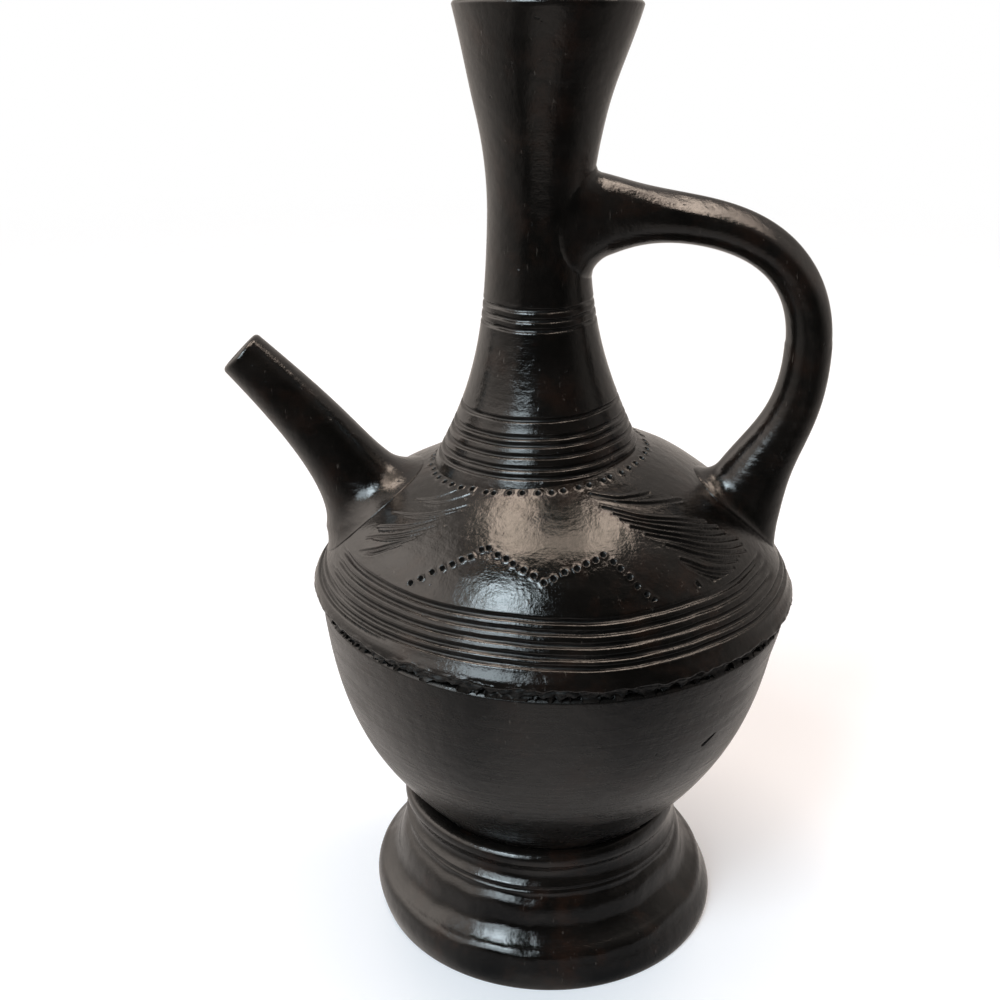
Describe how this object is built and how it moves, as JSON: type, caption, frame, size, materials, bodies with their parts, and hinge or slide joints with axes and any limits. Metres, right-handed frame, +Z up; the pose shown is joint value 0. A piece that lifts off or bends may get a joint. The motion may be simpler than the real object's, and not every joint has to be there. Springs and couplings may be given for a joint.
{
  "type": "coffee pot",
  "caption": "Black clay coffee pot with a round bottom, tall flared neck, loop handle and side spout, standing in a separate ring stand.",
  "frame": {"origin": "centre of the ring stand's foot, on the table", "axes": "+Z up along the stand's axis, +X towards the handle, -X towards the spout"},
  "size_m": [0.1632, 0.134, 0.2613],
  "materials": {
    "burnished_clay": "smoke-blackened clay, burnished to a soft gloss",
    "satin_clay": "smoke-blackened clay, satin, with brushed streaks"
  },
  "bodies": {
    "stand": {"ring_stand": "burnished_clay"},
    "pot": {"lower_bowl": "satin_clay", "shoulder": "burnished_clay", "neck": "burnished_clay", "spout": "burnished_clay", "handle": "burnished_clay"}
  },
  "joints": [
    {"name": "pot_lift", "type": "slide", "parent": "stand", "child": "pot", "axis": [0, 0, 1], "range_m": [0, 0.08]}
  ]
}
